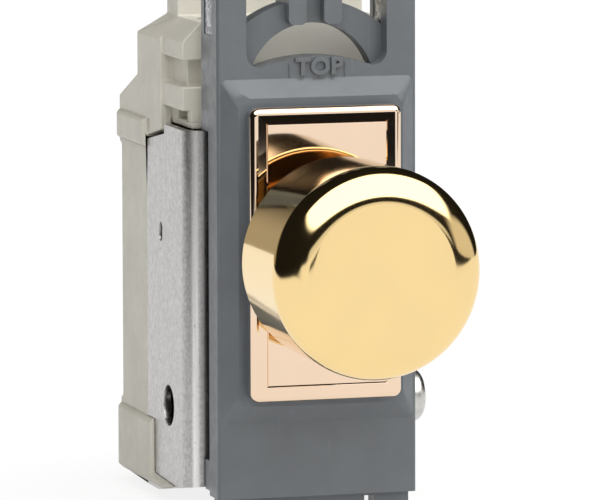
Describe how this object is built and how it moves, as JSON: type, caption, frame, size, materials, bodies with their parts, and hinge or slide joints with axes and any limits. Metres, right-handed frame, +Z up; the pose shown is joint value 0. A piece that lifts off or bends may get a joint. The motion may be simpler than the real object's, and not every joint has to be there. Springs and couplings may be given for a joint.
{
  "type": "rotary dimmer switch",
  "caption": "Push and turn rotary dimmer module: brass knob and face plate on a grey grid frame, folded aluminium heatsink and cream rear case with screw terminals.",
  "frame": {"origin": "on the shaft axis, in the plane of the moulded frame's flat front", "axes": "+X to the right seen from the front, +Y into the wall along the shaft, +Z up"},
  "size_m": [0.0284, 0.0587, 0.0568],
  "materials": {
    "grey_plastic": "moulded, fine scratches",
    "polished_brass": "polished and lacquered",
    "shaft_brass": "turned",
    "plated_steel": "zinc plated",
    "brushed_aluminium": "lightly brushed, scuffed",
    "cream_plastic": "moulded",
    "dark_plastic": "moulded",
    "track_laminate": "plain",
    "board_laminate": "lacquered",
    "pad_rubber": "silicone sheet",
    "ferrite": "sintered",
    "enamelled_copper": "enamelled wire",
    "capacitor_shell": "moulded",
    "component_glass": "clear"
  },
  "bodies": {
    "module": {"grid_frame": "grey_plastic", "face_plate": "polished_brass", "pot_bush": "shaft_brass", "bush_washer": "plated_steel", "bush_nut": "plated_steel", "leg_insert_left": "plated_steel", "leg_insert_right": "plated_steel", "heatsink_bracket": "brushed_aluminium", "frame_screws": "plated_steel", "rear_case": "cream_plastic", "pot_housing": "dark_plastic", "resistance_track": "track_laminate", "switch_housing": "dark_plastic", "fixed_contacts": "shaft_brass", "return_spring": "plated_steel", "circuit_board": "board_laminate", "board_screws": "plated_steel", "triac": "dark_plastic", "triac_pad": "pad_rubber", "triac_screw": "plated_steel", "triac_washer": "plated_steel", "triac_nut": "plated_steel", "choke_core": "ferrite", "choke_winding": "enamelled_copper", "suppressor_capacitor": "capacitor_shell", "timing_capacitor": "capacitor_shell", "timing_resistor": "track_laminate", "trigger_diode": "component_glass", "fuse": "component_glass", "terminal_block_left": "shaft_brass", "terminal_block_middle": "shaft_brass", "terminal_block_right": "shaft_brass"},
    "plunger": {"switch_plunger": "cream_plastic", "contact_bridge": "shaft_brass"},
    "knob": {"knob": "polished_brass", "knob_insert": "dark_plastic", "collet_ring": "plated_steel", "control_shaft": "shaft_brass"},
    "wiper": {"wiper_rotor": "cream_plastic", "wiper_spring": "shaft_brass"},
    "clamp_left": {"terminal_screw_left": "plated_steel"},
    "clamp_middle": {"terminal_screw_middle": "plated_steel"},
    "clamp_right": {"terminal_screw_right": "plated_steel"}
  },
  "joints": [
    {"name": "knob_push", "type": "slide", "parent": "module", "child": "plunger", "axis": [0, 1, 0], "range_m": [0, 0.0016], "stiffness_N_per_m": 1500, "springref_m": -0.001, "deforming": ["return_spring"]},
    {"name": "knob_turn", "type": "hinge", "parent": "plunger", "child": "knob", "pos_m": [0, 0, 0], "axis": [0, 1, 0], "range_deg": [0, 270]},
    {"name": "wiper_turn", "type": "hinge", "parent": "module", "child": "wiper", "pos_m": [0, 0, 0], "axis": [0, 1, 0], "range_deg": [0, 270]},
    {"name": "clamp_left_drive", "type": "slide", "parent": "module", "child": "clamp_left", "axis": [0, 0, 1], "range_m": [-0.0025, 0]},
    {"name": "clamp_middle_drive", "type": "slide", "parent": "module", "child": "clamp_middle", "axis": [0, 0, 1], "range_m": [-0.0025, 0]},
    {"name": "clamp_right_drive", "type": "slide", "parent": "module", "child": "clamp_right", "axis": [0, 0, 1], "range_m": [-0.0025, 0]}
  ],
  "couplings": [
    {"joint": "wiper_turn", "follows": "knob_turn", "ratio": 1}
  ]
}
